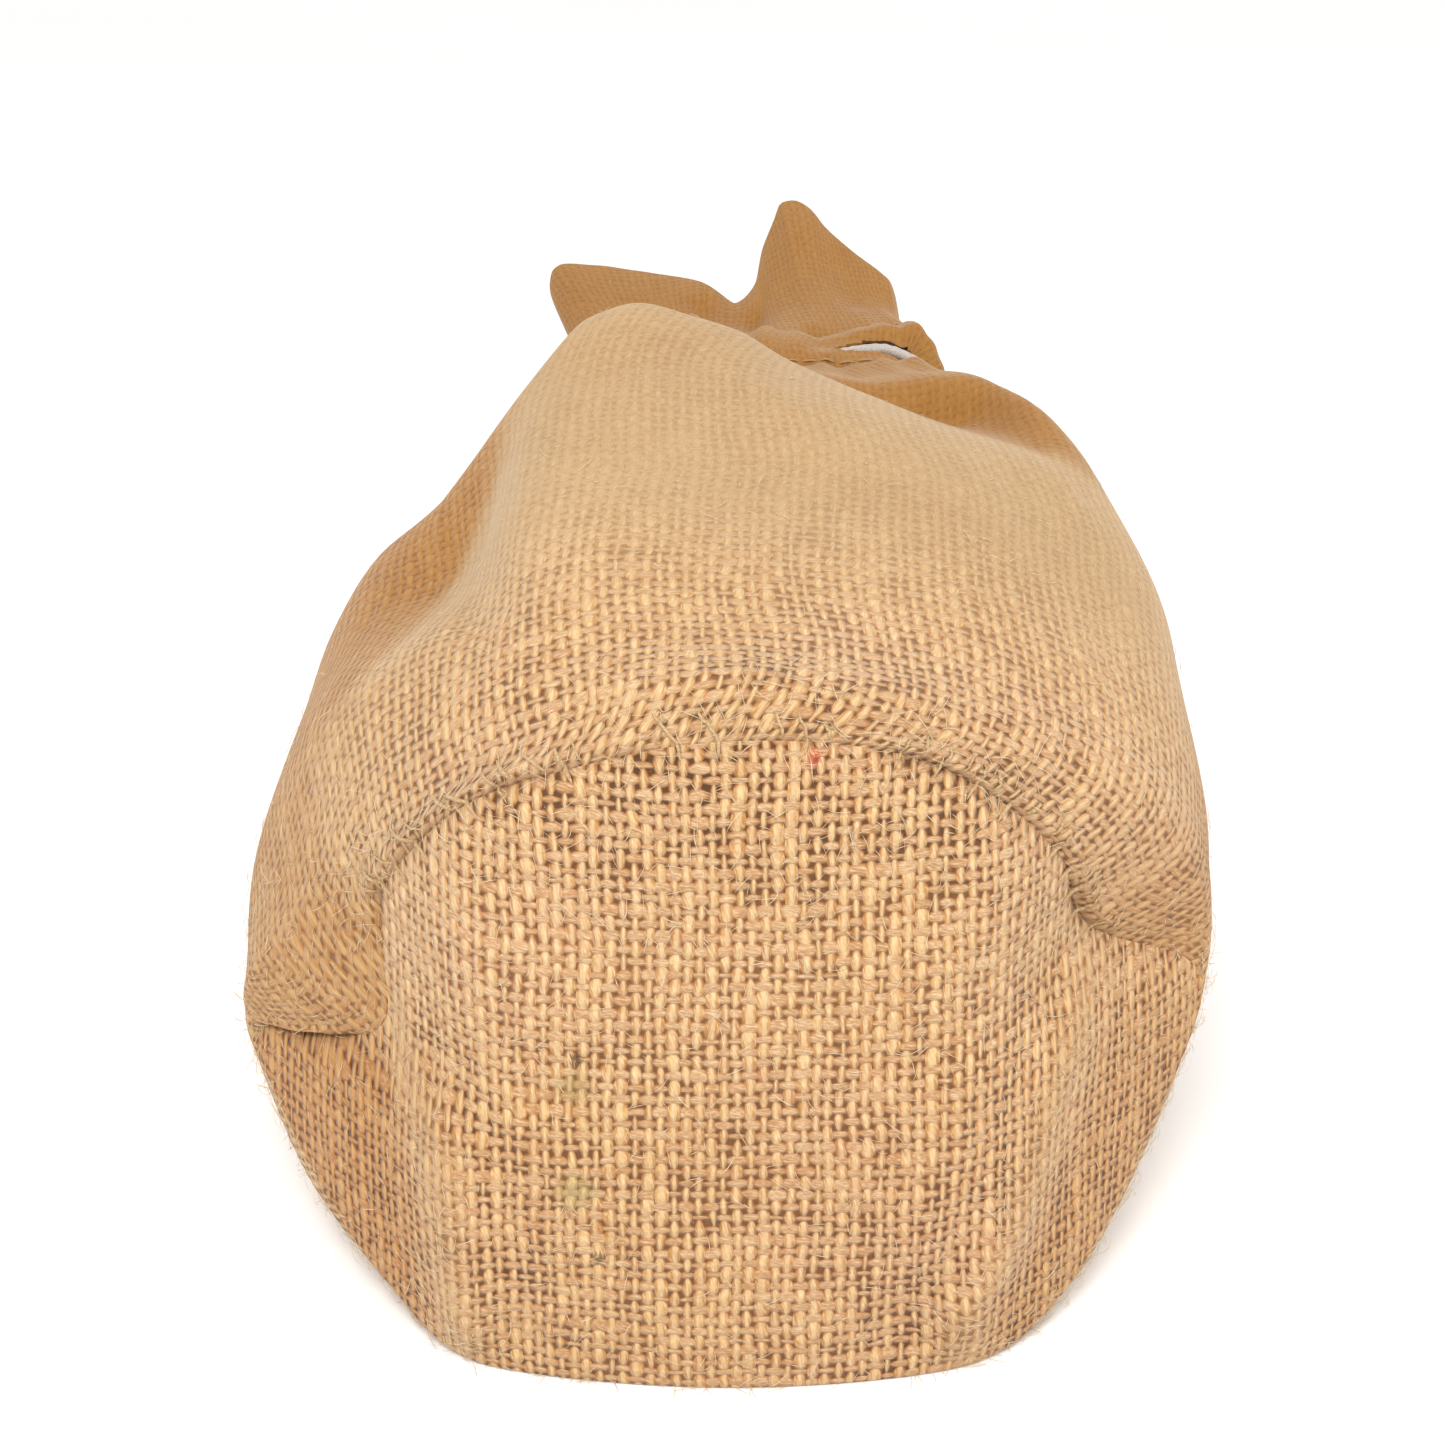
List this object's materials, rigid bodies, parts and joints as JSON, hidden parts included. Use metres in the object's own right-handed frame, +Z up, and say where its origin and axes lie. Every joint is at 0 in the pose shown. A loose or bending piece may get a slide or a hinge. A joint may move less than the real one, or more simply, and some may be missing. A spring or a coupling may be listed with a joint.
{
  "type": "drawstring_sack",
  "caption": "A stuffed hessian drawstring sack lying on its side, with a sewn-in oval base, a stitched drawstring channel, a ruffled mouth and a white cotton cord.",
  "frame": {"origin": "centre of the bounding box's underside, on the floor the sack lies on", "axes": "+Y from the sewn base to the gathered mouth, +Z up, +X to the right seen from the base"},
  "size_m": [0.1997, 0.3063, 0.1637],
  "materials": {
    "hessian": "coarse open plain weave of undyed jute, matte and hairy",
    "sewing_thread": "matte spun thread",
    "cotton_cord": "soft twisted off-white cotton"
  },
  "bodies": {
    "sack": {"body_panel": "hessian", "neck_gathers": "hessian", "base_panel": "hessian", "base_seam_allowance": "hessian", "base_seam_stitching": "sewing_thread", "side_seam_allowance": "hessian", "side_seam_stitching": "sewing_thread"},
    "neck": {"casing_outer": "hessian", "casing_inner": "hessian", "casing_lower_stitching": "sewing_thread", "casing_upper_stitching": "sewing_thread", "mouth_ruffle": "hessian", "mouth_facing": "hessian", "drawstring_loop": "cotton_cord"},
    "drawstring": {"tail_a_run": "cotton_cord", "tail_b_run": "cotton_cord"},
    "tail_a": {"tail_a_hang": "cotton_cord", "knot_a": "cotton_cord", "tip_a": "cotton_cord"},
    "tail_b": {"tail_b_hang": "cotton_cord", "knot_b": "cotton_cord", "tip_b": "cotton_cord"}
  },
  "joints": [
    {"name": "neck_flop", "type": "hinge", "parent": "sack", "child": "neck", "pos_m": [0.0055, 0.051, 0.095], "axis": [1, 0, 0], "range_deg": [-10, 20], "deforming": ["neck_gathers"]},
    {"name": "drawstring_pull", "type": "slide", "parent": "neck", "child": "drawstring", "axis": [1, 0, 0], "range_m": [0, 0.045]},
    {"name": "tail_a_swing", "type": "hinge", "parent": "drawstring", "child": "tail_a", "pos_m": [0.0625, 0.072, 0.0965], "axis": [0, 1, 0], "range_deg": [-80, 8]},
    {"name": "tail_b_swing", "type": "hinge", "parent": "drawstring", "child": "tail_b", "pos_m": [0.0625, 0.08, 0.0965], "axis": [0, 1, 0], "range_deg": [-80, 8]}
  ]
}
